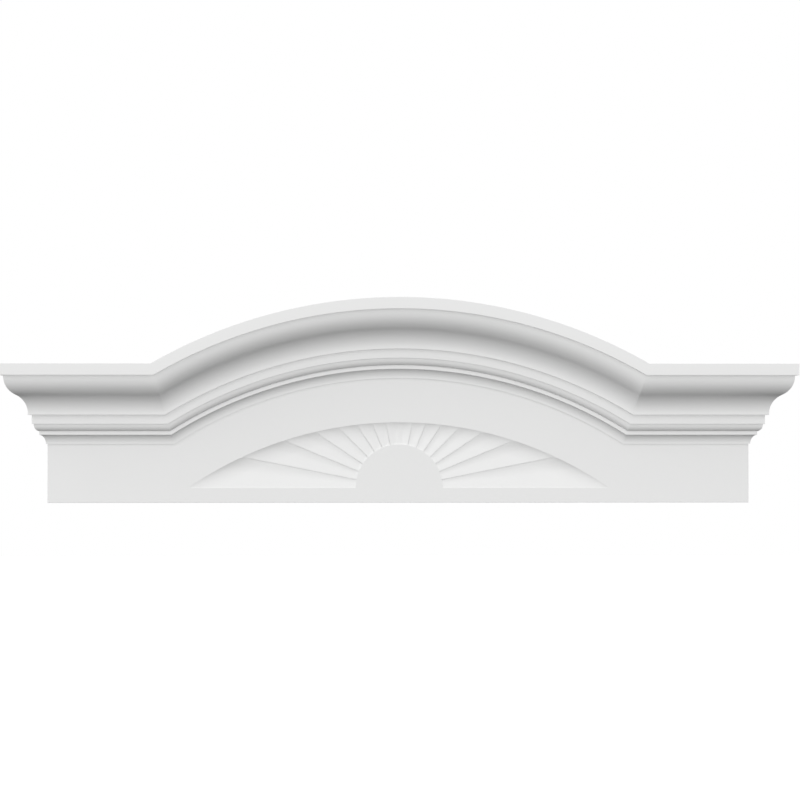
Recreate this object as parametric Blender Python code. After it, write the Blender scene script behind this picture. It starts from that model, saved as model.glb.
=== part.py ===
# Sunburst pediment: a frieze board with a sunburst routed into it, under a cornice that runs
# level on two wings and rises between them in a segmental arch. The cornice is a cap board, a
# crown moulding and a bed moulding, each in lengths that are sawn to mitres.
# Metres, +Z up. The front faces -Y and the flat back lies on y = 0, against the wall.
# The origin is on the back of the frieze board, at mid width.

import math

import bmesh
import bpy
from mathutils import Matrix, Vector

# Frieze board
FRIEZE_WIDTH = 1.134
FRIEZE_THICKNESS = 0.025
ORIGIN_HEIGHT = 0.120  # from the board's bottom edge up to the origin

# Line of the cornice, along its top outer edge
WING_HEIGHT = 0.224  # from the board's bottom edge to the top of the wings
ARCH_SPAN = 0.7984  # between the two kinks where the arch leaves the wings
ARCH_RISE = 0.1065

# Cap board
CAP_THICKNESS = 0.0186
CAP_OVERHANG = 0.006  # past the top of the crown

# Crown moulding, a cyma of two arcs with one radius
CROWN_HEIGHT = 0.0636
CROWN_SPREAD = 0.037  # how much further its top stands out than its foot
CYMA_RADIUS = 0.038
CROWN_STEP = 0.006  # its foot past the band below it

# Bed moulding, from its top down: a flat band, a quirk, an ovolo, a fillet and a cove
BAND_HEIGHT = 0.0147
QUIRK_DEPTH = 0.0029
OVOLO_HEIGHT = 0.0108
OVOLO_WIDTH = 0.0083
FILLET_HEIGHT = 0.0061
COVE_HEIGHT = 0.0152
COVE_WIDTH = 0.0101
BED_FOOT = 0.0027  # thickness of its lower edge

# Sunburst
RAIL_HEIGHT = 0.024  # plain rail below the rays
BOSS_RADIUS = 0.0705
RAY_COUNT = 16
RAY_LIP = 0.0008  # how far each ray's lower edge lies behind the board's face
RAY_TILT = math.radians(7.0)  # each ray leans back from its lower edge
FRIEZE_BAND = 0.0718  # plain face between the bed moulding and the rays, at the crown of the arch
RAY_OVERLAP = math.radians(0.3)  # how far a ray runs on under the next one
RAY_SINK = 0.004  # how far its ends and back run on into the board

# How round things are faceted, and the glue line between touching pieces
ARCH_STEP = math.radians(1.8)
PROFILE_STEP = math.radians(9.0)
BOSS_STEP = math.radians(3.75)
JOINT_GAP = 0.0003
SHARP_ANGLE = math.radians(30)  # shaded as an edge from here up
WELD = 1e-6  # points this close are one

BOTTOM = -ORIGIN_HEIGHT
WING_TOP = BOTTOM + WING_HEIGHT
FRONT = -FRIEZE_THICKNESS  # y of the frieze board's face

ARCH_RADIUS = ((ARCH_SPAN / 2) ** 2 + ARCH_RISE**2) / (2 * ARCH_RISE)
ARCH_CENTRE = WING_TOP + ARCH_RISE - ARCH_RADIUS

BED_HEIGHT = BAND_HEIGHT + OVOLO_HEIGHT + FILLET_HEIGHT + COVE_HEIGHT
BED_DROP = CAP_THICKNESS + CROWN_HEIGHT  # from the cornice's top down to the bed moulding
CORNICE_HEIGHT = BED_DROP + BED_HEIGHT

FILLET_REACH = BED_FOOT + COVE_WIDTH
OVOLO_REACH = FILLET_REACH + OVOLO_WIDTH
BAND_REACH = OVOLO_REACH + QUIRK_DEPTH
CROWN_FOOT_REACH = BAND_REACH + CROWN_STEP
CROWN_REACH = CROWN_FOOT_REACH + CROWN_SPREAD
CAP_REACH = CROWN_REACH + CAP_OVERHANG

WIDTH = FRIEZE_WIDTH + 2 * CAP_REACH
DEPTH = FRIEZE_THICKNESS + CAP_REACH

SUN_CENTRE = BOTTOM + RAIL_HEIGHT
RECESS_RADIUS = ARCH_RADIUS - CORNICE_HEIGHT - FRIEZE_BAND


def clear_scene():
    for thing in list(bpy.data.objects):
        bpy.data.objects.remove(thing, do_unlink=True)


def new_collection(name, hidden=False):
    made = bpy.data.collections.new(name)
    made.hide_render = hidden
    bpy.context.scene.collection.children.link(made)
    return made


def paint(name, colour, roughness):
    made = bpy.data.materials.new(name)
    made.use_nodes = True
    shader = made.node_tree.nodes["Principled BSDF"]
    shader.inputs["Base Color"].default_value = (*colour, 1.0)
    shader.inputs["Roughness"].default_value = roughness
    shader.inputs["Metallic"].default_value = 0.0
    return made


def add_object(name, mesh, collection, material=None):
    made = bpy.data.objects.new(name, mesh)
    collection.objects.link(made)
    if material:
        mesh.materials.append(material)
    return made


def arc(centre, radius, start, end, step):
    """Points of an arc from one angle to another, both ends included."""
    pieces = max(1, round(abs(end - start) / step))
    angles = [start + (end - start) * i / pieces for i in range(pieces + 1)]
    return [
        (centre[0] + radius * math.cos(a), centre[1] + radius * math.sin(a))
        for a in angles
    ]


def angle_from(centre, point):
    return math.atan2(point[1] - centre[1], point[0] - centre[0])


# A moulding's section is a list of (reach, drop): how far it stands out from the board's face,
# and how far it lies below the top of the cornice.


def cap_section():
    return [
        (-FRIEZE_THICKNESS, 0.0),
        (CAP_REACH, 0.0),
        (CAP_REACH, CAP_THICKNESS),
        (-FRIEZE_THICKNESS, CAP_THICKNESS),
    ]


def crown_section():
    """The lower arc is upright at the crown's foot, and the upper one starts at its top edge."""
    top = (CROWN_REACH, CAP_THICKNESS + JOINT_GAP)
    foot = (CROWN_FOOT_REACH, BED_DROP)
    lower = (foot[0] + CYMA_RADIUS, foot[1])
    # The upper centre is one radius from the top edge and two from the lower centre.
    across = math.dist(top, lower)
    along = (across**2 + CYMA_RADIUS**2 - (2 * CYMA_RADIUS) ** 2) / (2 * across)
    aside = math.sqrt(CYMA_RADIUS**2 - along**2)
    way = ((lower[0] - top[0]) / across, (lower[1] - top[1]) / across)
    upper = (
        top[0] + along * way[0] - aside * way[1],
        top[1] + along * way[1] + aside * way[0],
    )
    join = ((upper[0] + lower[0]) / 2, (upper[1] + lower[1]) / 2)
    convex = arc(
        upper, CYMA_RADIUS, angle_from(upper, top), angle_from(upper, join), PROFILE_STEP
    )
    concave = arc(
        lower,
        CYMA_RADIUS,
        angle_from(lower, join) % (2 * math.pi),
        math.pi,
        PROFILE_STEP,
    )
    back = [(JOINT_GAP, BED_DROP), (JOINT_GAP, top[1])]
    return convex + concave[1:] + back


def bed_section():
    """The ovolo is upright where it meets the quirk, and the cove is upright at its foot."""
    top = BED_DROP + JOINT_GAP
    quirk = BED_DROP + BAND_HEIGHT
    fillet = quirk + OVOLO_HEIGHT
    cove = fillet + FILLET_HEIGHT
    foot = cove + COVE_HEIGHT
    ovolo_radius = (OVOLO_WIDTH**2 + OVOLO_HEIGHT**2) / (2 * OVOLO_WIDTH)
    ovolo_centre = (OVOLO_REACH - ovolo_radius, quirk)
    cove_radius = (COVE_WIDTH**2 + COVE_HEIGHT**2) / (2 * COVE_WIDTH)
    cove_centre = (BED_FOOT + cove_radius, foot)
    ovolo = arc(
        ovolo_centre,
        ovolo_radius,
        0.0,
        angle_from(ovolo_centre, (FILLET_REACH, fillet)),
        PROFILE_STEP,
    )
    hollow = arc(
        cove_centre,
        cove_radius,
        angle_from(cove_centre, (FILLET_REACH, cove)) % (2 * math.pi),
        math.pi,
        PROFILE_STEP,
    )
    band = [(JOINT_GAP, top), (BAND_REACH, top), (BAND_REACH, quirk)]
    return band + ovolo + hollow + [(JOINT_GAP, foot)]


def section_face(shape, section, place):
    """Adds the section to the bmesh as one face, each point put in space by place."""
    return shape.faces.new([shape.verts.new(place(*point)) for point in section])


def saw(shape, point, off_cut):
    """Cuts the bmesh by a plane, drops the side that off_cut points to and closes the cut."""
    cut = bmesh.ops.bisect_plane(
        shape,
        geom=shape.verts[:] + shape.edges[:] + shape.faces[:],
        plane_co=point,
        plane_no=off_cut,
        clear_outer=True,
    )
    edges = [item for item in cut["geom_cut"] if isinstance(item, bmesh.types.BMEdge)]
    bmesh.ops.holes_fill(shape, edges=edges)


def finish(shape, name, collection, material):
    bmesh.ops.remove_doubles(shape, verts=shape.verts[:], dist=WELD)
    bmesh.ops.recalc_face_normals(shape, faces=shape.faces[:])
    mesh = bpy.data.meshes.new(name)
    shape.to_mesh(mesh)
    shape.free()
    mesh.shade_smooth()
    mesh.set_sharp_from_angle(angle=SHARP_ANGLE)
    return add_object(name, mesh, collection, material)


def kink_x(drop):
    """Half the distance between the kinks, at a drop below the top of the cornice."""
    return math.sqrt((ARCH_SPAN / 2) ** 2 - 2 * drop * ARCH_RISE)


def saw_kink(shape, side, keep):
    """Cuts the mitre between a wing and the arch. keep is "wing" or "arch"."""
    top = Vector((side * kink_x(0.0), 0.0, WING_TOP))
    foot = Vector((side * kink_x(CORNICE_HEIGHT), 0.0, WING_TOP - CORNICE_HEIGHT))
    down = (foot - top).normalized()
    to_wing = Vector((-side * down.z, 0.0, side * down.x))
    off_cut = -to_wing if keep == "wing" else to_wing
    saw(shape, top - off_cut * JOINT_GAP / 2, off_cut)


def saw_corner(shape, side, keep):
    """Cuts the upright mitre at an outer corner. keep is "wing" or "return"."""
    corner = Vector((side * FRIEZE_WIDTH / 2, FRONT, 0.0))
    to_return = Vector((side, 1.0, 0.0)).normalized()
    off_cut = to_return if keep == "wing" else -to_return
    saw(shape, corner - off_cut * JOINT_GAP / 2, off_cut)


def extruded(shape, face, way):
    grown = bmesh.ops.extrude_face_region(shape, geom=[face])["geom"]
    moved = [item for item in grown if isinstance(item, bmesh.types.BMVert)]
    bmesh.ops.translate(shape, verts=moved, vec=way)


def make_wing(name, section, side, collection, material, cornered=True):
    """A level length on a wing, from the kink to the outer corner or to the cap's square end."""
    shape = bmesh.new()
    inner = kink_x(CORNICE_HEIGHT) / 2
    face = section_face(
        shape,
        section,
        lambda reach, drop: (side * inner, FRONT - reach, WING_TOP - drop),
    )
    extruded(shape, face, Vector((side * (WIDTH / 2 - inner), 0.0, 0.0)))
    saw_kink(shape, side, "wing")
    if cornered:
        saw_corner(shape, side, "wing")
    finish(shape, name, collection, material)


def make_return(name, section, side, collection, material):
    """A short length on the board's end, from the outer corner back to the wall."""
    shape = bmesh.new()
    face = section_face(
        shape,
        section,
        lambda reach, drop: (side * (FRIEZE_WIDTH / 2 + reach), 0.0, WING_TOP - drop),
    )
    extruded(shape, face, Vector((0.0, -DEPTH, 0.0)))
    saw_corner(shape, side, "return")
    finish(shape, name, collection, material)


def make_arch(name, section, collection, material):
    """A curved length, turned about the arch's centre and mitred at both kinks."""
    shape = bmesh.new()
    # The foot of the mitre lies furthest round the arch, and the rough length runs past it.
    half = math.asin(kink_x(CORNICE_HEIGHT) / (ARCH_RADIUS - CORNICE_HEIGHT))
    steps = math.ceil(half / ARCH_STEP) + 2
    face = section_face(
        shape,
        section,
        lambda reach, drop: (0.0, FRONT - reach, ARCH_CENTRE + ARCH_RADIUS - drop),
    )
    centre = Vector((0.0, 0.0, ARCH_CENTRE))
    back = Matrix.Rotation(-steps * ARCH_STEP, 3, "Y")
    bmesh.ops.rotate(shape, verts=shape.verts[:], cent=centre, matrix=back)
    bmesh.ops.spin(
        shape,
        geom=[face],
        cent=centre,
        axis=(0.0, 1.0, 0.0),
        angle=2 * steps * ARCH_STEP,
        steps=2 * steps,
    )
    for side in (-1, 1):
        saw_kink(shape, side, "arch")
    finish(shape, name, collection, material)


def make_run(name, section, collection, material):
    """Both wings, the arch and both returns of one moulding."""
    make_arch(f"{name}_arch", section, collection, material)
    for side, hand in ((-1, "left"), (1, "right")):
        make_wing(f"{name}_{hand}", section, side, collection, material)
        make_return(f"{name}_return_{hand}", section, side, collection, material)


def make_cap(collection, material):
    make_arch("cap_arch", cap_section(), collection, material)
    for side, hand in ((-1, "left"), (1, "right")):
        make_wing(f"cap_{hand}", cap_section(), side, collection, material, cornered=False)


def slab(name, outline, front, back, collection):
    """A flat outline in the plane of the wall, as a solid from y = front to y = back."""
    curve = bpy.data.curves.new(name, "CURVE")
    curve.dimensions = "2D"
    curve.fill_mode = "BOTH"
    curve.extrude = (back - front) / 2
    spline = curve.splines.new("POLY")
    spline.points.add(len(outline) - 1)
    for point, (x, z) in zip(spline.points, outline):
        point.co = (x, z, 0.0, 1.0)
    spline.use_cyclic_u = True
    flat = bpy.data.objects.new(name, curve)
    collection.objects.link(flat)
    bpy.context.view_layer.update()
    graph = bpy.context.evaluated_depsgraph_get()
    mesh = bpy.data.meshes.new_from_object(flat.evaluated_get(graph))
    bpy.data.objects.remove(flat)
    bpy.data.curves.remove(curve)
    shape = bmesh.new()
    shape.from_mesh(mesh)
    bpy.data.meshes.remove(mesh)
    stand = Matrix.Translation((0.0, (front + back) / 2, 0.0)) @ Matrix.Rotation(
        math.pi / 2, 4, "X"
    )
    bmesh.ops.transform(shape, matrix=stand, verts=shape.verts[:])
    bmesh.ops.remove_doubles(shape, verts=shape.verts[:], dist=WELD)
    return shape


def board_outline():
    """The board reaches up behind the mouldings to the underside of the cap."""
    drop = CAP_THICKNESS + JOINT_GAP
    radius = ARCH_RADIUS - drop
    half = math.asin(kink_x(drop) / radius)
    inside = math.floor(half / ARCH_STEP)
    angles = [half] + [i * ARCH_STEP for i in range(inside, -inside - 1, -1)] + [-half]
    arch = [
        (radius * math.sin(a), ARCH_CENTRE + radius * math.cos(a)) for a in angles
    ]
    edge = FRIEZE_WIDTH / 2
    top = WING_TOP - drop
    return [(-edge, BOTTOM), (edge, BOTTOM), (edge, top)] + arch + [(-edge, top)]


def meet_arc(angle, radius):
    """Where the line at this angle from the sun's centre meets an arc about the arch's centre."""
    rise = SUN_CENTRE - ARCH_CENTRE
    down = rise * math.sin(angle)
    reach = -down + math.sqrt(down**2 - rise**2 + radius**2)
    return (reach * math.cos(angle), SUN_CENTRE + reach * math.sin(angle))


def arch_arc(radius, low, high):
    """The arc about the arch's centre, between two lines from the sun's centre."""
    centre = (0.0, ARCH_CENTRE)
    start = angle_from(centre, meet_arc(low, radius))
    end = angle_from(centre, meet_arc(high, radius))
    return arc(centre, radius, start, end, ARCH_STEP)


def ray_depth(distance):
    """How far a ray lies behind the board's face, at a distance from its lower edge."""
    return RAY_LIP + distance * math.tan(RAY_TILT)


def pocket_depth(step):
    """Just past the deepest corner, where the lowest ray's upper edge meets the arc."""
    x, z = meet_arc(step, RECESS_RADIUS)
    return ray_depth(z - SUN_CENTRE) + RAY_LIP


def make_pocket(step, collection):
    """Clears the whole sunburst down to one floor and leaves the boss."""
    boss = arc((0.0, SUN_CENTRE), BOSS_RADIUS, math.pi, 0.0, BOSS_STEP)
    outer = arch_arc(RECESS_RADIUS, 0.0, math.pi)
    floor = FRONT + pocket_depth(step)
    shape = slab("pocket", boss + outer, FRONT - FRIEZE_THICKNESS, floor, collection)
    return finish(shape, "pocket", collection, None)


def make_ray(number, side, low, high, floor, collection):
    """One ray, leaning back from its lower edge. Its sides and ends run on into what they meet."""
    start = low - RAY_OVERLAP if low == 0.0 else low
    end = high + RAY_OVERLAP
    inside = BOSS_RADIUS - RAY_SINK
    outline = arc((0.0, SUN_CENTRE), inside, end, start, BOSS_STEP) + arch_arc(
        RECESS_RADIUS + RAY_SINK, start, end
    )
    name = f"ray_{number}"
    shape = slab(name, outline, FRONT - FRIEZE_THICKNESS, floor + RAY_SINK, collection)
    edge = Vector((math.cos(low), 0.0, math.sin(low)))
    lean = Vector((-math.sin(low), math.tan(RAY_TILT), math.cos(low)))
    outward = edge.cross(lean)
    if outward.y > 0:
        outward.negate()
    saw(shape, Vector((0.0, FRONT + RAY_LIP, SUN_CENTRE)), outward)
    if side < 0:
        bmesh.ops.scale(shape, verts=shape.verts[:], vec=(-1.0, 1.0, 1.0))
    finish(shape, name, collection, None)


def make_frieze(collection, pockets, rays, material):
    """The board, cleared to a pocket round the boss and filled again with the leaning rays."""
    shape = slab("frieze_board", board_outline(), FRONT, 0.0, collection)
    board = finish(shape, "frieze_board", collection, material)
    each_side = RAY_COUNT // 2
    step = math.pi / 2 / each_side
    clear = board.modifiers.new("pocket", "BOOLEAN")
    clear.operation = "DIFFERENCE"
    clear.solver = "EXACT"
    clear.object = make_pocket(step, pockets)
    floor = FRONT + pocket_depth(step)
    for side in (-1, 1):
        for i in range(each_side):
            number = i + (each_side if side > 0 else 0)
            make_ray(number, side, i * step, (i + 1) * step, floor, rays)
    fill = board.modifiers.new("rays", "BOOLEAN")
    fill.operation = "UNION"
    fill.solver = "EXACT"
    fill.operand_type = "COLLECTION"
    fill.collection = rays


def hide_tools(*collections):
    for collection in collections:
        for tool in collection.objects:
            tool.display_type = "WIRE"
            tool.hide_render = True


def main():
    clear_scene()
    pediment = new_collection("sunburst_pediment")
    pockets = new_collection("pocket_cutter", hidden=True)
    rays = new_collection("ray_fillers", hidden=True)
    white = (0.83, 0.83, 0.83)
    make_frieze(pediment, pockets, rays, paint("frieze_white", white, 0.55))
    make_cap(pediment, paint("cap_white", white, 0.5))
    make_run("crown", crown_section(), pediment, paint("crown_white", white, 0.45))
    make_run("bed_moulding", bed_section(), pediment, paint("bed_white", white, 0.45))
    hide_tools(pockets, rays)


main()
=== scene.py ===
import math

import bmesh
import bpy
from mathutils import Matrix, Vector
from mathutils.geometry import tessellate_polygon


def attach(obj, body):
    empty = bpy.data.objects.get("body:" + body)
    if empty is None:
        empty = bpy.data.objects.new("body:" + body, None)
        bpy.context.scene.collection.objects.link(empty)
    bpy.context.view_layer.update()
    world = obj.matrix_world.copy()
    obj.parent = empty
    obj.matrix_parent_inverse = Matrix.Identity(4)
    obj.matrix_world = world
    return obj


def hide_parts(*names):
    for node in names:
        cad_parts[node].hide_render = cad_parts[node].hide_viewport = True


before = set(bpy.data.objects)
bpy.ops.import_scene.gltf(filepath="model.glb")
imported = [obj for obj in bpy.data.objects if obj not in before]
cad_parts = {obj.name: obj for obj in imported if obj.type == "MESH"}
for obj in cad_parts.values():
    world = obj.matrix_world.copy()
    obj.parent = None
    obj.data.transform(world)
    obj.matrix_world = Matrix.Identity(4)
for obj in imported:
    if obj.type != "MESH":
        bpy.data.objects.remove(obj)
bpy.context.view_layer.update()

# Sunburst pediment in white cellular PVC. Metres, +Z up, front towards -Y, wall on y = 0.
weld = 1e-6  # points this close are one
sharpAngle = math.radians(50)  # edges that turn further than this stay sharp


class Wire:  # an output socket that can be added to, multiplied and so on
    def __init__(self, net, socket):
        self.net = net
        self.socket = socket

    def math(self, operation, *others):
        values = dict(enumerate((self, *others)))
        return self.net.make("ShaderNodeMath", {"operation": operation}, values)

    def __add__(self, other):
        return self.math("ADD", other)

    def __sub__(self, other):
        return self.math("SUBTRACT", other)

    def __mul__(self, other):
        return self.math("MULTIPLY", other)

    def __truediv__(self, other):
        return self.math("DIVIDE", other)

    def __mod__(self, other):
        return self.math("FLOORED_MODULO", other)

    def __radd__(self, other):
        return self.math("ADD", other)

    def __rmul__(self, other):
        return self.math("MULTIPLY", other)

    def __rsub__(self, other):
        return self.net.make("ShaderNodeMath", {"operation": "SUBTRACT"}, {0: other, 1: self})

    def __rtruediv__(self, other):
        return self.net.make("ShaderNodeMath", {"operation": "DIVIDE"}, {0: other, 1: self})

    def output(self, name):
        return Wire(self.net, self.socket.node.outputs[name])


class Net:  # a node tree that is being built
    def __init__(self, tree):
        self.tree = tree
        self.column = 0

    def make(self, kind, settings=None, sockets=None, out=0):
        node = self.tree.nodes.new(kind)
        self.column += 1
        row, column = divmod(self.column, 12)
        node.location = (190 * column, -230 * row)
        for name, value in (settings or {}).items():
            setattr(node, name, value)
        for key, value in (sockets or {}).items():
            self.feed(node.inputs[key], value)
        return Wire(self, node.outputs[out]) if node.outputs else node

    def feed(self, socket, value):
        if isinstance(value, (list, tuple)) and value and isinstance(value[0], Wire):
            for wire in value:
                self.tree.links.new(wire.socket, socket)
        elif isinstance(value, Wire):
            self.tree.links.new(value.socket, socket)
        else:
            socket.default_value = value

    def vector(self, x, y, z):
        return self.make("ShaderNodeCombineXYZ", None, {0: x, 1: y, 2: z})

    def parts(self, vector):
        x = self.make("ShaderNodeSeparateXYZ", None, {0: vector})
        return x, x.output("Y"), x.output("Z")


def geometryNet(name, inputs):
    tree = bpy.data.node_groups.new(name, "GeometryNodeTree")
    kinds = {float: "NodeSocketFloat", int: "NodeSocketInt"}
    tree.interface.new_socket("Geometry", in_out="OUTPUT", socket_type="NodeSocketGeometry")
    tree.interface.new_socket("Geometry", in_out="INPUT", socket_type="NodeSocketGeometry")
    for label, value in inputs.items():
        socket = tree.interface.new_socket(label, in_out="INPUT", socket_type=kinds[type(value)])
        socket.default_value = value
    tree.interface.new_socket("Material", in_out="INPUT", socket_type="NodeSocketMaterial")
    net = Net(tree)
    return net, net.make("NodeGroupInput")


def closeNet(net, entry, geometry):
    whole = net.make("GeometryNodeRealizeInstances", None, {0: geometry})
    painted = net.make(
        "GeometryNodeSetMaterial", None, {"Geometry": whole, "Material": entry.output("Material")}
    )
    net.make("NodeGroupOutput", None, {0: painted})


def grown(mesh, tree, inputs, material):
    # Runs a tree on a mesh, and gives back what it makes as a bmesh.
    holder = bpy.data.objects.new("holder", mesh)
    bpy.context.scene.collection.objects.link(holder)
    modifier = holder.modifiers.new("nodes", "NODES")
    modifier.node_group = tree
    for item in tree.interface.items_tree:
        if item.in_out == "INPUT" and item.name in inputs:
            modifier[item.identifier] = inputs[item.name]
        elif item.in_out == "INPUT" and item.name == "Material":
            modifier[item.identifier] = material
    graph = bpy.context.evaluated_depsgraph_get()
    made = bpy.data.meshes.new_from_object(
        holder.evaluated_get(graph), preserve_all_data_layers=True, depsgraph=graph
    )
    bpy.data.objects.remove(holder)
    shape = bmesh.new()
    shape.from_mesh(made)
    bpy.data.meshes.remove(made)
    bmesh.ops.remove_doubles(shape, verts=shape.verts[:], dist=weld)
    bmesh.ops.recalc_face_normals(shape, faces=shape.faces[:])
    return shape


def finishPiece(name, shape, material, node):
    mesh = bpy.data.meshes.new(name)
    shape.to_mesh(mesh)
    shape.free()
    mesh.materials.clear()
    mesh.materials.append(material)
    mesh.shade_smooth()
    mesh.set_sharp_from_angle(angle=sharpAngle)
    rough = bpy.data.objects.new(name + "Rough", mesh)
    bpy.context.scene.collection.objects.link(rough)
    even = rough.modifiers.new("evenNormals", "WEIGHTED_NORMAL")
    even.keep_sharp = True
    graph = bpy.context.evaluated_depsgraph_get()
    smooth = bpy.data.meshes.new_from_object(rough.evaluated_get(graph), depsgraph=graph)
    bpy.data.objects.remove(rough)
    bpy.data.meshes.remove(mesh)
    smooth.name = name
    piece = bpy.data.objects.new(name, smooth)
    bpy.context.scene.collection.objects.link(piece)
    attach(piece, "root")
    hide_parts(node)
    return piece


sheetLook = {
    "white": 0.86,
    "cloud": 0.012,
    "cloudSize": 7.0,
    "grainSize": 900.0,
    "grainShade": 0.012,
    "grainRoughness": 0.12,
    "roughness": 0.5,
    "bump": 0.05,
    "bumpDepth": 0.0004,
    "ior": 1.45,
}
mouldingLook = {
    "white": 0.87,
    "cloud": 0.01,
    "cloudSize": 9.0,
    "lineSize": 2600.0,
    "lineStretch": 0.004,
    "lineShade": 0.01,
    "lineRoughness": 0.14,
    "roughness": 0.42,
    "bump": 0.06,
    "bumpDepth": 0.0003,
    "ior": 1.47,
}
tint = {"green": 1.002, "blue": 0.998}  # shares of red


def offWhite(net, level):
    channels = {0: level, 1: level * tint["green"], 2: level * tint["blue"]}
    return net.make("ShaderNodeCombineColor", None, channels)


def cloudsIn(net, size):
    place = net.make("ShaderNodeTexCoord").output("Object")
    return net.make("ShaderNodeTexNoise", None, {"Vector": place, "Scale": size, "Detail": 3.0})


def finishShader(net, colour, roughness, relief, look):
    shader = net.tree.nodes["Principled BSDF"]
    bump = net.make(
        "ShaderNodeBump",
        None,
        {"Strength": look["bump"], "Distance": look["bumpDepth"], "Height": relief},
    )
    net.feed(shader.inputs["Base Color"], colour)
    net.feed(shader.inputs["Roughness"], roughness)
    net.feed(shader.inputs["Normal"], bump)
    shader.inputs["IOR"].default_value = look["ior"]


def pvcSheet(name, look):
    # Cut from cellular sheet: a close matt skin, with soft clouds in it
    material = bpy.data.materials.new(name)
    material.use_nodes = True
    net = Net(material.node_tree)
    place = net.make("ShaderNodeTexCoord").output("Object")
    grain = net.make(
        "ShaderNodeTexNoise", None, {"Vector": place, "Scale": look["grainSize"], "Detail": 2.0}
    )
    clouds = cloudsIn(net, look["cloudSize"])
    level = look["white"] + (clouds - 0.5) * look["cloud"] + (grain - 0.5) * look["grainShade"]
    roughness = look["roughness"] + (grain - 0.5) * look["grainRoughness"]
    finishShader(net, offWhite(net, level), roughness, grain, look)
    return material


def pvcMoulding(name, look):
    # Milled moulding: fine lines along its run, from the knives
    material = bpy.data.materials.new(name)
    material.use_nodes = True
    net = Net(material.node_tree)
    run = net.make("ShaderNodeAttribute", {"attribute_name": "grain"}).output("Vector")
    stretch = (1.0, 1.0, look["lineStretch"])
    stretched = net.make("ShaderNodeMapping", None, {"Vector": run, "Scale": stretch})
    lines = net.make(
        "ShaderNodeTexNoise", None, {"Vector": stretched, "Scale": look["lineSize"], "Detail": 2.0}
    )
    clouds = cloudsIn(net, look["cloudSize"])
    level = look["white"] + (clouds - 0.5) * look["cloud"] + (lines - 0.5) * look["lineShade"]
    roughness = look["roughness"] + (lines - 0.5) * look["lineRoughness"]
    finishShader(net, offWhite(net, level), roughness, lines, look)
    return material


friezePvc = pvcSheet("friezePvc", sheetLook)
capPvc = pvcSheet("capPvc", dict(sheetLook, white=0.87, roughness=0.46))
mouldingPvc = pvcMoulding("mouldingPvc", mouldingLook)
print("materials made")


# A section is a loop of (reach, drop): out from the board's face, and down from the top.

board = {
    "width": 1.134,
    "thickness": 0.025,
    "bottom": -0.120,
    "wingTop": 0.104,
    "archSpan": 0.7984,
    "archRise": 0.1065,
    "edgeRadius": 0.0006,
    "edgeSteps": 3,
    "archStep": math.radians(0.9),
}
face = -board["thickness"]
halfBoard = board["width"] / 2
halfSpan = board["archSpan"] / 2
archRadius = (halfSpan**2 + board["archRise"] ** 2) / (2 * board["archRise"])
archCentre = board["wingTop"] + board["archRise"] - archRadius

cap = {
    "thickness": 0.0186,
    "reach": 0.073,
    "edgeRadius": 0.0003,
    "edgeSteps": 3,
    "roundedFrom": 1.0,  # radians that an edge turns
    "mitreLean": 0.03,  # an upright edge leans less than this, also at a mitre
}

crown = {
    "top": cap["thickness"],
    "foot": 0.0822,
    "topReach": 0.067,
    "footReach": 0.030,
    "upperFlat": 0.002,
    "lowerFlat": 0.003,
    "edgeRadius": 0.0004,
}

bed = {
    "top": crown["foot"],
    "bandHeight": 0.0147,
    "bandReach": 0.024,
    "ovoloHeight": 0.0113,
    "ovoloReach": 0.0211,
    "filletHeight": 0.0061,
    "filletReach": 0.0128,
    "coveHeight": 0.0147,
    "footReach": 0.0027,
    "edgeRadius": 0.0004,
}
profileStep = math.radians(3.0)
roundingStep = math.radians(30)


def arcPoints(centre, radius, start, end, step):
    count = max(2, round(abs(end - start) / step))
    turns = [start + (end - start) * i / count for i in range(count + 1)]
    return [(centre[0] + radius * math.cos(t), centre[1] + radius * math.sin(t)) for t in turns]


def bearing(centre, point):
    return math.atan2(point[1] - centre[1], point[0] - centre[0])


def eased(loop, corners, radius):
    # Rounds the named corners of a loop, each on the arc that touches both its sides
    done = []
    for i, point in enumerate(loop):
        if i not in corners:
            done.append(point)
            continue
        here = Vector(point)
        before = (Vector(loop[i - 1]) - here).normalized()
        after = (Vector(loop[(i + 1) % len(loop)]) - here).normalized()
        half = before.angle(after) / 2
        middle = here + (before + after).normalized() * radius / math.sin(half)
        start = here + before * radius / math.tan(half)
        end = here + after * radius / math.tan(half)
        first = bearing(middle, start)
        sweep = (bearing(middle, end) - first + math.pi) % (2 * math.pi) - math.pi
        done += arcPoints(middle, radius, first, first + sweep, roundingStep)
    return done


def capSection():
    back, front, low = -board["thickness"], cap["reach"], cap["thickness"]
    return [(back, 0.0), (front, 0.0), (front, low), (back, low)]


def crownSection():
    # An ogee: two arcs of one radius, with a short upright piece above and below them
    top, foot = crown["top"] + crown["upperFlat"], crown["foot"] - crown["lowerFlat"]
    outer, inner = crown["topReach"], crown["footReach"]
    turn = 2 * math.atan((outer - inner) / (foot - top))
    radius = (foot - top) / (2 * math.sin(turn))
    loop = [(outer, crown["top"])]
    loop += arcPoints((outer - radius, top), radius, 0.0, turn, profileStep)
    loop += arcPoints((inner + radius, foot), radius, math.pi + turn, math.pi, profileStep)[1:]
    corner = len(loop)
    loop += [(inner, crown["foot"]), (0.0, crown["foot"]), (0.0, crown["top"])]
    return eased(loop, {corner}, crown["edgeRadius"])


def quarterOval(centre, wide, high, start, end):
    # A quarter of an oval, level at one end and upright at the other
    unit = arcPoints((0.0, 0.0), 1.0, start, end, 2 * profileStep)
    return [(centre[0] + wide * x, centre[1] + high * y) for x, y in unit]


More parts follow.
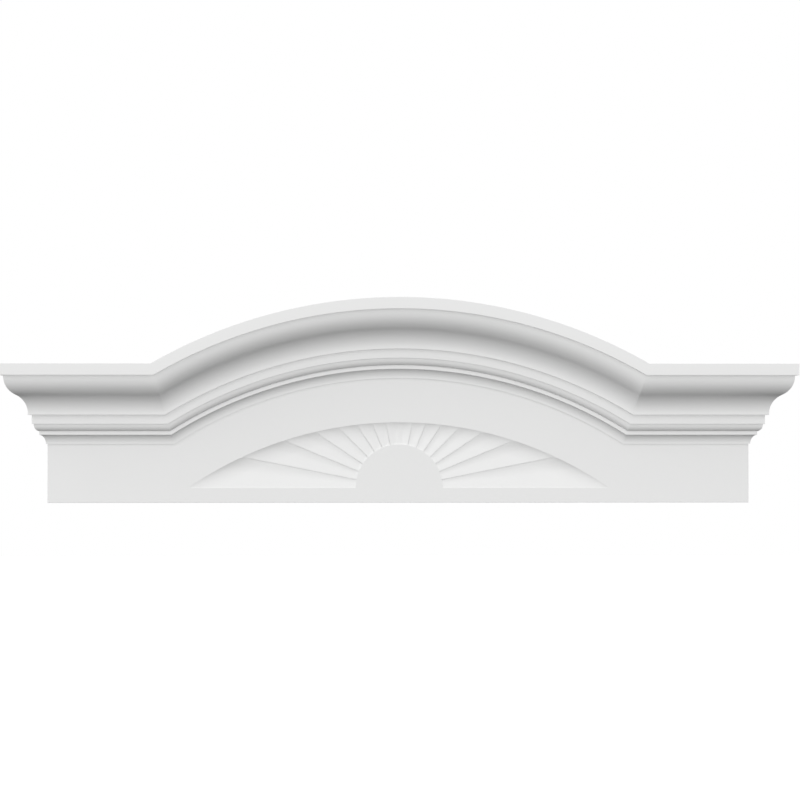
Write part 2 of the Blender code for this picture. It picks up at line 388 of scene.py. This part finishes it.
def bedSection():
    # Band, quirk, ovolo, fillet and cove
    quirk = bed["top"] + bed["bandHeight"]
    fillet = quirk + bed["ovoloHeight"]
    cove = fillet + bed["filletHeight"]
    foot = cove + bed["coveHeight"]
    inner, outer = bed["filletReach"], bed["ovoloReach"]
    ovolo = quarterOval((inner, quirk), outer - inner, bed["ovoloHeight"], 0.0, math.pi / 2)
    depth = inner - bed["footReach"]
    hollow = quarterOval((inner, foot), depth, bed["coveHeight"], 1.5 * math.pi, math.pi)
    loop = [(0.0, bed["top"]), (bed["bandReach"], bed["top"]), (bed["bandReach"], quirk)]
    loop += ovolo
    filletCorner = len(loop)
    loop += hollow + [(0.0, foot)]
    return eased(loop, {2, filletCorner}, bed["edgeRadius"])


bedHeights = ("top", "bandHeight", "ovoloHeight", "filletHeight", "coveHeight")
bedBottom = sum(bed[key] for key in bedHeights)

runInputs = {
    "Steps": 8,
    "Side": 1.0,
    "Face": face,
    "Half Board": halfBoard,
    "Half Span": halfSpan,
    "Rise": board["archRise"],
    "Wing Top": board["wingTop"],
    "Arch Radius": archRadius,
    "Arch Centre": archCentre,
    "Square End": 0.0,
    "Length": 1.0,
}


def archPlace(net, entry, reach, drop, along):
    # Turns about the arch's centre, from one mitre to the other
    kink = kinkHalf(entry, drop)
    radius = entry.output("Arch Radius") - drop
    turn = (kink / radius).math("ARCSINE") * (along * 2.0 - 1.0)
    x = radius * turn.math("SINE")
    z = entry.output("Arch Centre") + radius * turn.math("COSINE")
    return net.vector(x, entry.output("Face") - reach, z)


def wingPlace(net, entry, reach, drop, along):
    # Level, from the kink to the mitre at the corner, or to a square end where one is given
    near = kinkHalf(entry, drop)
    square = entry.output("Square End")
    mitred = entry.output("Half Board") + reach
    far = mitred + (square - mitred) * square.math("GREATER_THAN", 0.0)
    x = (near + (far - near) * along) * entry.output("Side")
    return net.vector(x, entry.output("Face") - reach, entry.output("Wing Top") - drop)


def returnPlace(net, entry, reach, drop, along):
    # On the board's end, from the wall out to the corner
    x = (entry.output("Half Board") + reach) * entry.output("Side")
    y = (entry.output("Face") - reach) * along
    return net.vector(x, y, entry.output("Wing Top") - drop)


def kinkHalf(entry, drop):
    half = entry.output("Half Span")
    return (half * half - drop * entry.output("Rise") * 2.0).math("SQRT")


def stored(net, geometry, name, value, vector=False):
    kind = {"data_type": "FLOAT_VECTOR" if vector else "FLOAT", "domain": "POINT"}
    sockets = {"Geometry": geometry, "Name": name, "Value": value}
    return net.make("GeometryNodeStoreNamedAttribute", kind, sockets)


def named(net, name, vector=False):
    kind = {"data_type": "FLOAT_VECTOR" if vector else "FLOAT"}
    return net.make("GeometryNodeInputNamedAttribute", kind, {"Name": name})


def runTree(name, placing):
    # Sweeps a section: a grid is wrapped round the section's points, and both ends are closed
    net, entry = geometryNet(name, runInputs)
    section = entry.output("Geometry")
    count = net.make("GeometryNodeAttributeDomainSize", {"component": "MESH"}, {0: section})
    spacing = {"Vertices X": entry.output("Steps") + 1, "Vertices Y": count + 1}
    grid = net.make("GeometryNodeMeshGrid", None, {0: 1.0, 1: 1.0, **spacing})
    place = net.make("GeometryNodeInputPosition")
    across, up, _ = net.parts(place)
    index = ((up + 0.5) * count).math("ROUND") % count
    sample = net.make(
        "GeometryNodeSampleIndex",
        {"data_type": "FLOAT_VECTOR", "domain": "POINT"},
        {"Geometry": section, "Value": place, "Index": index},
    )
    skin = stored(net, stored(net, grid, "section", sample, True), "along", across + 0.5)
    start = stored(net, stored(net, section, "section", place, True), "along", 0.0)
    end = stored(net, net.make("GeometryNodeFlipFaces", None, {0: start}), "along", 1.0)
    whole = net.make("GeometryNodeJoinGeometry", None, {0: [skin, start, end]})
    reach, drop, _ = net.parts(named(net, "section", True))
    along = named(net, "along")
    grain = net.vector(reach, drop, along * entry.output("Length"))
    whole = stored(net, whole, "grain", grain, True)
    moved = net.make(
        "GeometryNodeSetPosition",
        None,
        {"Geometry": whole, "Position": placing(net, entry, reach, drop, along)},
    )
    closeNet(net, entry, moved)
    return net.tree


archTree = runTree("archRun", archPlace)
wingTree = runTree("wingRun", wingPlace)
returnTree = runTree("returnRun", returnPlace)


def sectionMesh(loop):
    mesh = bpy.data.meshes.new("section")
    mesh.from_pydata([(reach, drop, 0.0) for reach, drop in loop], [], [range(len(loop))])
    return mesh


def archRun(loop, material):
    steps = 2 * math.ceil(math.asin(halfSpan / archRadius) / board["archStep"])
    length = 2 * archRadius * math.asin(halfSpan / archRadius)
    return grown(sectionMesh(loop), archTree, {"Steps": steps, "Length": length}, material)


def wingRun(loop, side, material, square=0.0):
    inputs = {"Side": side, "Square End": square, "Length": halfBoard - halfSpan}
    return grown(sectionMesh(loop), wingTree, inputs, material)


def returnRun(loop, side, material):
    inputs = {"Side": side, "Steps": 3, "Length": board["thickness"]}
    return grown(sectionMesh(loop), returnTree, inputs, material)


def softenCap(shape, endX=None):
    # Rounds the long front edges, and those of the square end, but not the mitre or the back
    front = face - cap["reach"]
    picked = []
    for edge in shape.edges:
        one, two = (vert.co for vert in edge.verts)
        if len(edge.link_faces) != 2 or edge.calc_face_angle() < cap["roundedFrom"]:
            continue
        onFront = max(abs(one.y - front), abs(two.y - front)) < weld
        onEnd = endX is not None and max(abs(one.x - endX), abs(two.x - endX)) < weld
        onBack = max(one.y, two.y) > -weld and abs(one.y - two.y) < weld
        leaning = abs(one.x - two.x)
        upright = leaning < cap["mitreLean"] and abs(one.z - two.z) > cap["thickness"] / 2
        if (onEnd and not onBack) or (onFront and not upright):
            picked.append(edge)
    bmesh.ops.bevel(
        shape,
        geom=picked,
        offset=cap["edgeRadius"],
        offset_type="OFFSET",
        segments=cap["edgeSteps"],
        profile=0.5,
        affect="EDGES",
        clamp_overlap=True,
    )
    bmesh.ops.recalc_face_normals(shape, faces=shape.faces[:])
    return shape


halfCap = halfBoard + cap["reach"]
finishPiece("capArch", softenCap(archRun(capSection(), capPvc)), capPvc, "cap_arch")
for side, hand in ((-1.0, "Left"), (1.0, "Right")):
    wing = softenCap(wingRun(capSection(), side, capPvc, halfCap), side * halfCap)
    finishPiece("cap" + hand, wing, capPvc, "cap_" + hand.lower())
print("cap made")

mouldings = (("crown", "crown", crownSection()), ("bed", "bed_moulding", bedSection()))
for piece, node, loop in mouldings:
    arch = archRun(loop, mouldingPvc)
    finishPiece(piece + "Arch", arch, mouldingPvc, node + "_arch")
    for side, hand in ((-1.0, "Left"), (1.0, "Right")):
        where = hand.lower()
        wing = wingRun(loop, side, mouldingPvc)
        finishPiece(piece + hand, wing, mouldingPvc, f"{node}_{where}")
        back = returnRun(loop, side, mouldingPvc)
        finishPiece(
            piece + "Return" + hand, back, mouldingPvc, f"{node}_return_{where}"
        )
print("crown and bed mouldings made")


sun = {
    "rail": 0.024,
    "boss": 0.0705,
    "rays": 16,
    "lip": 0.0004,
    "deepen": 0.0042,
    "tilt": math.radians(7.5),
    "scoop": 0.078,
    "scoopFrom": 0.5,
    "band": 0.0718,
    "arcLip": 0.0004,
    "arcEase": 0.012,
    "edgeRadius": 0.0001,
    "edgeSteps": 2,
    "columns": (0.12, 0.25, 0.38, 0.5, 0.57, 0.64, 0.7, 0.76, 0.82, 0.87, 0.92),
    "kerfWidth": 0.0010,
    "kerfSlant": 0.0001,
    "kerfDepth": 0.0026,
    "kerfHollow": 0.8,
    "arcRows": (0.027, 0.021, 0.0165, 0.0125, 0.009, 0.006, 0.004, 0.0025, 0.0012),
}
sunCentre = board["bottom"] + sun["rail"]
recessRadius = archRadius - bedBottom - sun["band"]
rayStep = math.pi / sun["rays"]

rayInputs = {
    "Rays": sun["rays"],
    "Boss Radius": sun["boss"],
    "Recess Radius": recessRadius,
    "Sun Centre": sunCentre,
    "Arch Centre": archCentre,
    "Face": face,
    "Lip": sun["lip"],
    "Deepen": sun["deepen"],
    "Tilt": sun["tilt"],
    "Scoop": sun["scoop"],
    "Arc Lip": sun["arcLip"],
    "Arc Ease": sun["arcEase"],
}


def mixed(one, two, share):
    return one + (two - one) * share


def reachTo(radius, rise, down):
    # From the sun's centre to an arc of this radius
    return (down * down - rise * rise + radius * radius).math("SQRT") - down


def rayBlank():
    # One ray, flat: each point carries where it lies across and along the ray, how far it is
    # shifted past that place by the rounding of an edge or the kerf, how deep it may be, and
    # how much of the scoop it has.
    radius, count = sun["edgeRadius"], sun["edgeSteps"]
    turns = [math.pi / 2 * i / count for i in range(count + 1)]
    far = 1.0  # deeper than any point
    kerf = sun["kerfDepth"]
    # (fraction across, depth fraction, shift, extra depth, first ray's shift and depth, scoop)
    columns = [(0.0, 1.0, 0.0, kerf, -radius, 0.0, 1.0)]
    for i, turn in enumerate(turns):
        aside, under = radius * (1 - math.cos(turn)), radius * (1 - math.sin(turn))
        first = (0.0, sun["lip"])
        if i < count:
            following = turns[i + 1]
            first = (-radius * (1 - math.sin(following)), radius * (1 - math.cos(following)))
        columns.append((0.0, 0.0, aside, under, *first, 0.0))
    for part in sun["columns"]:
        hollow = max(0.0, (part - sun["scoopFrom"]) / (1 - sun["scoopFrom"])) ** 2
        columns.append((part, part, 0.0, 0.0, 0.0, far, hollow))
    brink = -sun["kerfWidth"]
    for shift, sawn in ((brink - sun["kerfSlant"], 0.0), (brink, kerf), (0.0, kerf)):
        columns.append((1.0, 1.0, shift, sawn, shift, far, sun["kerfHollow"]))
    # (fraction along, shift, deepest)
    ease = [(radius * (1 - math.sin(t)), radius * (1 - math.cos(t))) for t in turns]
    rows = [(0.0, -shift, depth) for shift, depth in ease] + [(0.0, 0.0, far)]
    rows += [(1.0, -inside, far) for inside in sun["arcRows"]]
    rows += [(1.0, 0.0, far)] + [(1.0, shift, depth) for shift, depth in reversed(ease)]
    wide, high = len(columns), len(rows)
    verts = [(i, j, 0.0) for j in range(high) for i in range(wide)]
    faces = [
        (j * wide + i, j * wide + i + 1, (j + 1) * wide + i + 1, (j + 1) * wide + i)
        for j in range(high - 1)
        for i in range(wide - 1)
    ]
    mesh = bpy.data.meshes.new("rayBlank")
    mesh.from_pydata(verts, [], faces)
    names = ("across", "deepAcross", "shift", "extra", "firstShift", "firstDepth", "hollow")
    names += ("alongRay", "alongShift", "deepest")
    for place, name in enumerate(names):
        layer = mesh.attributes.new(name, "FLOAT", "POINT")
        for j, row in enumerate(rows):
            for i, column in enumerate(columns):
                layer.data[j * wide + i].value = (*column, *row)[place]
    return mesh


def rayTree():
    # Sets the blank round the sun's centre, and fits each copy between the boss and the arc
    net, entry = geometryNet("sunRays", rayInputs)
    rays = entry.output("Rays")
    points = net.make("GeometryNodeMeshLine", None, {"Count": rays})
    points = stored(net, points, "number", net.make("GeometryNodeInputIndex"))
    blank = entry.output("Geometry")
    copies = net.make("GeometryNodeInstanceOnPoints", None, {"Points": points, "Instance": blank})
    blanks = net.make("GeometryNodeRealizeInstances", None, {0: copies})
    number = named(net, "number")
    eachSide = rays / 2.0
    step = math.pi / rays
    first = (number % eachSide).math("LESS_THAN", 0.5)
    side = number.math("GREATER_THAN", eachSide - 0.5) * 2.0 - 1.0
    shift = mixed(named(net, "shift"), named(net, "firstShift"), first)
    # Where a line at this angle from the sun's centre meets the boss or the arc
    angle = ((number % eachSide) + named(net, "across")) * step
    rise = entry.output("Sun Centre") - entry.output("Arch Centre")
    down = rise * angle.math("SINE")
    outer = entry.output("Recess Radius") + named(net, "alongShift")
    reach = reachTo(outer, rise, down)
    inner = entry.output("Boss Radius") + named(net, "alongShift")
    distance = mixed(inner, reach, named(net, "alongRay"))
    lean = entry.output("Tilt").math("TANGENT")
    away = distance * (named(net, "deepAcross") * step).math("SINE")
    forward = distance * step * entry.output("Scoop") * named(net, "hollow")
    # Each sinks from the boss outwards, and the first ones also from the rail upwards
    boss = entry.output("Boss Radius")
    whole = reachTo(entry.output("Recess Radius"), rise, down) - boss
    sink = ((distance - boss) / whole).math("MINIMUM", 1.0).math("MAXIMUM", 0.0)
    sink = sink * mixed(1.0, named(net, "deepAcross"), first) * entry.output("Deepen")
    # The kerf is left out where the two middle rays meet
    last = (number % eachSide).math("GREATER_THAN", eachSide - 1.5)
    middle = last * named(net, "across").math("GREATER_THAN", 0.5)
    extra = named(net, "extra") * (1.0 - middle)
    depth = entry.output("Lip") + sink + (away + shift) * lean - forward + extra
    turned = angle + (shift / distance).math("ARCSINE")
    # Every ray rises to the arc
    aside = distance * turned.math("COSINE")
    above = distance * turned.math("SINE") + rise
    inside = entry.output("Recess Radius") - (aside * aside + above * above).math("SQRT")
    nearness = (inside.math("MAXIMUM", 0.0) / entry.output("Arc Ease") * -1.0).math("EXPONENT")
    depth = mixed(entry.output("Arc Lip"), depth, 1.0 - nearness)
    firstDepth = depth.math("MINIMUM", named(net, "firstDepth"))
    depth = mixed(depth, firstDepth, first).math("MINIMUM", named(net, "deepest"))
    moved = net.make(
        "GeometryNodeSetPosition",
        None,
        {
            "Geometry": blanks,
            "Position": net.vector(
                distance * turned.math("COSINE") * side,
                entry.output("Face") + depth,
                entry.output("Sun Centre") + distance * turned.math("SINE"),
            ),
        },
    )
    closeNet(net, entry, moved)
    return net.tree


def boardLoop(inset, y):
    # The board's outline. Only its lower edge and its ends show, so only these are inset.
    drop = cap["thickness"]
    radius = archRadius - drop
    half = math.asin(math.sqrt(halfSpan**2 - 2 * drop * board["archRise"]) / radius)
    steps = 2 * math.ceil(half / board["archStep"])
    turns = [half * (1 - 2 * i / steps) for i in range(steps + 1)]
    edge, low, top = halfBoard - inset, board["bottom"] + inset, board["wingTop"] - drop
    loop = [(-edge, low), (edge, low), (edge, top)]
    loop += [(radius * math.sin(t), archCentre + radius * math.cos(t)) for t in turns]
    loop.append((-edge, top))
    return [(x, y, z) for x, z in loop]


def boundaryLoop(shape):
    # The open edge of the sunburst's sheet, in order
    edges = [edge for edge in shape.edges if len(edge.link_faces) == 1]
    follow = {}
    for edge in edges:
        for vert in edge.verts:
            follow.setdefault(vert, []).append(edge)
    start = edges[0].verts[0]
    loop, here, came = [start], start, None
    while True:
        edge = next(e for e in follow[here] if e is not came)
        here, came = edge.other_vert(here), edge
        if here is start:
            return loop
        loop.append(here)


def makeFrieze():
    shape = grown(rayBlank(), rayTree(), {}, friezePvc)
    bmesh.ops.dissolve_degenerate(shape, dist=weld, edges=shape.edges[:])
    hole = boundaryLoop(shape)
    radius = board["edgeRadius"]
    count = board["edgeSteps"]
    turns = [math.pi / 2 * i / count for i in range(count + 1)]
    loops = [
        boardLoop(radius * (1 - math.sin(t)), face + radius * (1 - math.cos(t))) for t in turns
    ]
    loops.append(boardLoop(0.0, 0.0))
    rings = [[shape.verts.new(point) for point in loop] for loop in loops]
    outline = rings[0] + hole
    flat = [[Vector((v.co.x, v.co.z, 0.0)) for v in ring] for ring in (rings[0], hole)]
    for corners in tessellate_polygon(flat):
        shape.faces.new([outline[i] for i in corners])
    for near, deep in zip(rings, rings[1:]):
        for i in range(len(near)):
            j = (i + 1) % len(near)
            shape.faces.new([near[i], near[j], deep[j], deep[i]])
    shape.faces.new(rings[-1])
    bmesh.ops.remove_doubles(shape, verts=shape.verts[:], dist=weld)
    bmesh.ops.recalc_face_normals(shape, faces=shape.faces[:])
    gaps = [edge for edge in shape.edges if len(edge.link_faces) != 2]
    print("frieze edges without two faces:", len(gaps))
    finishPiece("friezeBoard", shape, friezePvc, "frieze_board")


makeFrieze()
print("frieze board and sunburst made")


camera = {
    "lens": 171.25,
    "sensor": 36.0,
    "place": (-0.192, -6.178, 0.0055),
    "target": (-0.0007, -0.098, 0.0455),
}
light = {
    "dome": 1.0,  # falls off from overhead to nothing underfoot
    "panels": [
        {"from": (0.0, -1.0, 0.0), "strength": 0.4, "focus": 8.0},
        {"from": (-1.0, -0.3, 0.8), "strength": 0.93, "focus": 8.0},
    ],
    "fill": {"from": (-0.25, -1.0, 0.5), "strength": 1.0},
    "background": 1.0,
}
floor = {"size": 40.0, "height": -0.9, "white": 0.9, "roughness": 0.9, "glow": 0.5}


def makeCamera():
    data = bpy.data.cameras.new("camera")
    data.lens = camera["lens"]
    data.sensor_width = camera["sensor"]
    made = bpy.data.objects.new("camera", data)
    bpy.context.scene.collection.objects.link(made)
    made.location = camera["place"]
    aim = Vector(camera["target"]) - Vector(camera["place"])
    made.rotation_euler = aim.to_track_quat("-Z", "Y").to_euler()
    bpy.context.scene.camera = made


def makeWorld():
    # A soft dome with broad panels in it. The camera sees plain white.
    world = bpy.data.worlds.new("studio")
    bpy.context.scene.world = world
    world.use_nodes = True
    net = Net(world.node_tree)
    shade = world.node_tree.nodes["Background"]
    way = net.make("ShaderNodeTexCoord").output("Generated")
    height = net.parts(way)[2]
    tent = (1.0 + height) * (light["dome"] / 2)
    for panel in light["panels"]:
        aim = Vector(panel["from"]).normalized()
        facing = net.make(
            "ShaderNodeVectorMath", {"operation": "DOT_PRODUCT"}, {0: way, 1: aim}
        ).output("Value")
        spread = facing.math("MAXIMUM", 0.0).math("POWER", panel["focus"])
        tent = tent + spread * panel["strength"]
    seen = net.make("ShaderNodeLightPath")
    strength = mixed(tent, light["background"], seen)
    net.feed(shade.inputs["Strength"], strength)
    shade.inputs["Color"].default_value = (1.0, 1.0, 1.0, 1.0)


def makeFill():
    # An even fill from the front: a sun lamp with its shadow switched off
    data = bpy.data.lights.new("fill", "SUN")
    data.energy = light["fill"]["strength"]
    data.use_shadow = False
    made = bpy.data.objects.new("fill", data)
    bpy.context.scene.collection.objects.link(made)
    made.rotation_euler = Vector(light["fill"]["from"]).to_track_quat("Z", "Y").to_euler()


def makeFloor():
    mesh = bpy.data.meshes.new("floor")
    half, z = floor["size"] / 2, floor["height"]
    corners = [(-half, -half, z), (half, -half, z), (half, half, z), (-half, half, z)]
    mesh.from_pydata(corners, [], [(0, 1, 2, 3)])
    made = bpy.data.objects.new("floor", mesh)
    bpy.context.scene.collection.objects.link(made)
    material = bpy.data.materials.new("floorPale")
    material.use_nodes = True
    shader = material.node_tree.nodes["Principled BSDF"]
    shader.inputs["Base Color"].default_value = (floor["white"],) * 3 + (1.0,)
    shader.inputs["Roughness"].default_value = floor["roughness"]
    shader.inputs["Emission Color"].default_value = (1.0, 1.0, 1.0, 1.0)
    shader.inputs["Emission Strength"].default_value = floor["glow"]
    mesh.materials.append(material)
    made.visible_diffuse = False
    made.visible_glossy = False
    made.visible_shadow = False


makeCamera()
makeWorld()
makeFill()
makeFloor()
bpy.context.scene.view_settings.view_transform = "Standard"
print("camera, light and floor made")
